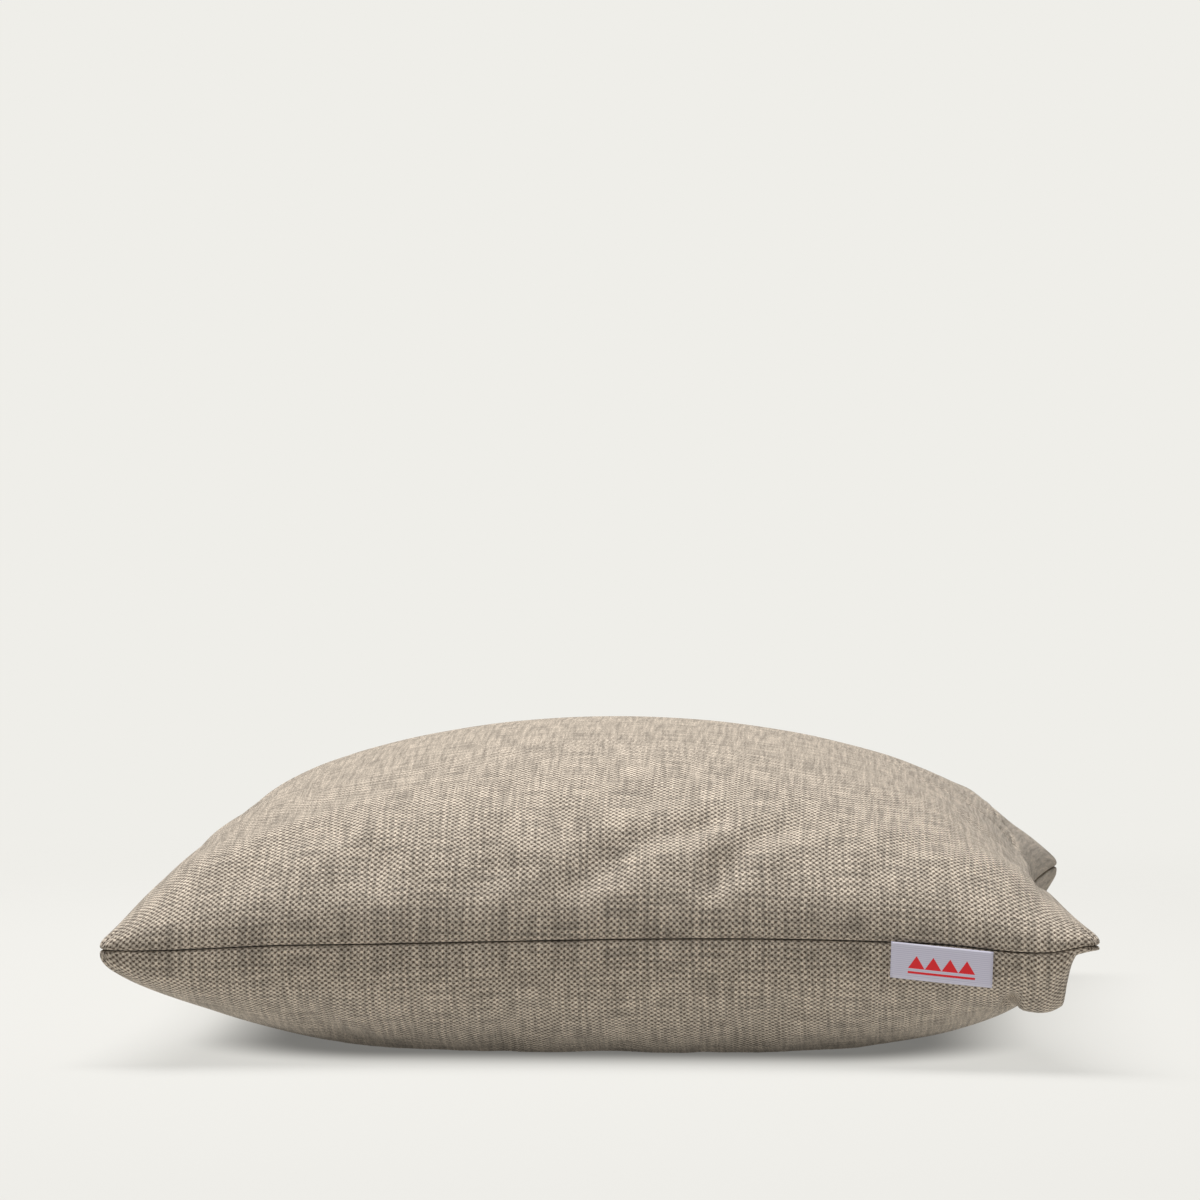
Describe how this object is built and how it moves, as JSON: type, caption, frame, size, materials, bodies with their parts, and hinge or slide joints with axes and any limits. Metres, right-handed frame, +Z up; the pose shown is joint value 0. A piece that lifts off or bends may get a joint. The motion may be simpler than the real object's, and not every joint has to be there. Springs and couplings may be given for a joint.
{
  "type": "camp pillow",
  "caption": "Square knife-edge camp pillow with a zipped woven cover over a fibre-filled inner casing, and a folded seam label",
  "frame": {"origin": "on the floor under the middle of the pillow, at the bottom centre of its bounding box", "axes": "+Z up, -Y towards the labelled front seam, +X towards the corner beside the label"},
  "size_m": [0.4, 0.4, 0.131],
  "materials": {
    "cover_cloth": "coarse plain-weave outdoor polyester, taupe beige with a darker warp",
    "label_satin": "white polyester satin tape",
    "casing_cloth": "off-white spunbond non-woven",
    "polyester_fibre": "loose white hollow fibre",
    "zip_ribbon": "woven polyester tape",
    "zip_nylon": "nylon coil",
    "zip_metal": "nickel-plated die-cast zinc"
  },
  "bodies": {
    "cushion": {"top_panel": "cover_cloth", "bottom_panel": "cover_cloth", "inner_casing_top": "casing_cloth", "inner_casing_bottom": "casing_cloth", "fibre_fill": "polyester_fibre", "zip_tape_top": "zip_ribbon", "zip_tape_bottom": "zip_ribbon", "zip_coil_top": "zip_nylon", "zip_coil_bottom": "zip_nylon", "zip_end_stop_top": "zip_metal", "zip_end_stop_bottom": "zip_metal", "zip_bottom_stop": "zip_metal"},
    "slider": {"zip_slider": "zip_metal"},
    "pull_tab": {"zip_pull": "zip_metal"},
    "label": {"side_label": "label_satin"}
  },
  "joints": [
    {"name": "zip_slide", "type": "slide", "parent": "cushion", "child": "slider", "axis": [1, 0, 0], "range_m": [0, 0.2428]},
    {"name": "pull_swing", "type": "hinge", "parent": "slider", "child": "pull_tab", "pos_m": [-0.1214, 0.1923, 0.051], "axis": [0, 0, 1], "range_deg": [0, 170]},
    {"name": "label_flap", "type": "hinge", "parent": "cushion", "child": "label", "pos_m": [0.1394, -0.19073, 0.051], "axis": [-0.9905, 0.1375, 0], "range_deg": [0, 150]}
  ]
}
